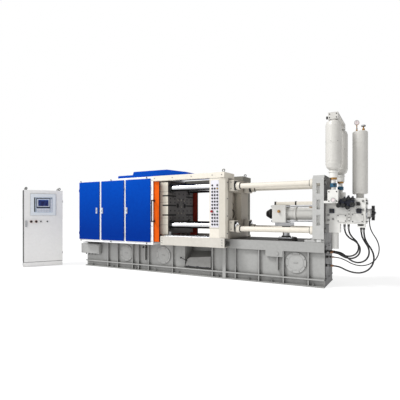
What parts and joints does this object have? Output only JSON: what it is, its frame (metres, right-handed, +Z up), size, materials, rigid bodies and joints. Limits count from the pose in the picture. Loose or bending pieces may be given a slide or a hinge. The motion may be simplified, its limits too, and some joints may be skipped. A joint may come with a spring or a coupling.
{
  "type": "cold chamber die casting machine",
  "caption": "Horizontal cold chamber die casting machine on a welded bed with guarded clamp, sliding safety doors, shot unit, gas accumulators and a separate control cabinet.",
  "frame": {"origin": "on the floor under the middle of the bed", "axes": "+X from the clamping end to the injection end, -Y towards the operator, +Z up"},
  "size_m": [7.0862, 1.951, 2.665],
  "materials": {
    "bed_paint": "semi-gloss grey enamel",
    "cover_paint": "semi-gloss grey enamel",
    "white_paint": "semi-gloss powder coat",
    "blue_paint": "semi-gloss powder coat",
    "orange_paint": "semi-gloss powder coat",
    "cream_paint": "semi-gloss enamel",
    "platen_iron": "cream paint with a machined face",
    "chrome_bar": "hard chrome",
    "steel": "satin",
    "black_plastic": "matt",
    "button_plastic": "gloss",
    "stop_red": "gloss",
    "brass": "satin",
    "hose_rubber": "satin",
    "cabinet_paint": "fine textured powder coat",
    "screen_plastic": "satin"
  },
  "bodies": {
    "machine": {"accumulator_bridge": "cream_paint", "accumulator_front": "cream_paint", "accumulator_rear": "cream_paint", "aprons": "cream_paint", "bed_covers": "cover_paint", "bed_frame": "bed_paint", "bottle_seats": "cream_paint", "cabinet_body": "cabinet_paint", "cartridge_valves": "black_plastic", "casting_chute": "bed_paint", "clamp_cylinder": "cream_paint", "drip_tray": "steel", "emergency_stop": "stop_red", "fixed_platen": "cream_paint", "gas_bottle": "cream_paint", "gas_bottle_seat": "cream_paint", "gas_valve": "brass", "guard_cross_frame": "white_paint", "guard_frame_front": "white_paint", "guard_frame_rear": "white_paint", "guard_panels": "blue_paint", "height_jack": "steel", "hose_1": "hose_rubber", "hose_2": "hose_rubber", "hose_3": "hose_rubber", "hose_4": "hose_rubber", "hose_5": "hose_rubber", "hose_fittings": "brass", "lifting_eyes": "steel", "panel_post": "cream_paint", "push_buttons": "button_plastic", "rear_portal": "cream_paint", "return_column": "cream_paint", "roof_cover": "blue_paint", "shot_bar_collars": "cream_paint", "shot_bars": "cream_paint", "shot_cylinder": "cream_paint", "shot_end_plate": "cream_paint", "shot_head": "cream_paint", "stroke_rail": "steel", "tail_platen": "cream_paint", "terminal_box": "bed_paint", "tie_bar_nuts": "steel", "tie_bars": "chrome_bar", "top_beam_front": "cream_paint", "valve_manifold": "cream_paint"},
    "guard_door_1": {"guard_door_1": "blue_paint"},
    "guard_door_2": {"guard_door_2": "blue_paint"},
    "guard_door_3": {"guard_door_3": "blue_paint"},
    "safety_door_front": {"safety_door_front": "orange_paint", "safety_door_grip_front": "black_plastic"},
    "safety_door_rear": {"safety_door_rear": "orange_paint"},
    "moving_platen": {"moving_platen": "platen_iron", "clamp_ram": "chrome_bar"},
    "shot_plunger": {"shot_plunger": "steel"},
    "throttle_wheel": {"throttle_wheel": "black_plastic"},
    "gas_handwheel": {"gas_handwheel": "black_plastic"},
    "cabinet_door": {"cabinet_door": "cabinet_paint", "operator_screen": "screen_plastic", "cabinet_controls": "screen_plastic"}
  },
  "joints": [
    {"name": "guard_door_1_hinge", "type": "hinge", "parent": "machine", "child": "guard_door_1", "pos_m": [-2.5, -0.6173, 1.2], "axis": [0, 0, -1], "range_deg": [0, 90]},
    {"name": "guard_door_2_hinge", "type": "hinge", "parent": "machine", "child": "guard_door_2", "pos_m": [-1.261, -0.6173, 1.2], "axis": [0, 0, 1], "range_deg": [0, 90]},
    {"name": "guard_door_3_hinge", "type": "hinge", "parent": "machine", "child": "guard_door_3", "pos_m": [-0.607, -0.6173, 1.2], "axis": [0, 0, 1], "range_deg": [0, 90]},
    {"name": "safety_door_front_slide", "type": "slide", "parent": "machine", "child": "safety_door_front", "axis": [1, 0, 0], "range_m": [0, 1.08]},
    {"name": "safety_door_rear_slide", "type": "slide", "parent": "machine", "child": "safety_door_rear", "axis": [1, 0, 0], "range_m": [0, 0.88]},
    {"name": "clamp_stroke", "type": "slide", "parent": "machine", "child": "moving_platen", "axis": [1, 0, 0], "range_m": [0, 0.46]},
    {"name": "shot_stroke", "type": "slide", "parent": "machine", "child": "shot_plunger", "axis": [-1, 0, 0], "range_m": [0, 0.42]},
    {"name": "throttle_turn", "type": "hinge", "parent": "machine", "child": "throttle_wheel", "pos_m": [3.19, -0.2, 1.15], "axis": [1, 0, 0], "continuous": true},
    {"name": "gas_valve_turn", "type": "hinge", "parent": "machine", "child": "gas_handwheel", "pos_m": [3.052, -0.1, 2.483], "axis": [0, 0, 1], "continuous": true},
    {"name": "cabinet_door_hinge", "type": "hinge", "parent": "machine", "child": "cabinet_door", "pos_m": [-3.02474, -0.61745, 0.9], "axis": [0, 0, 1], "range_deg": [0, 60]}
  ]
}
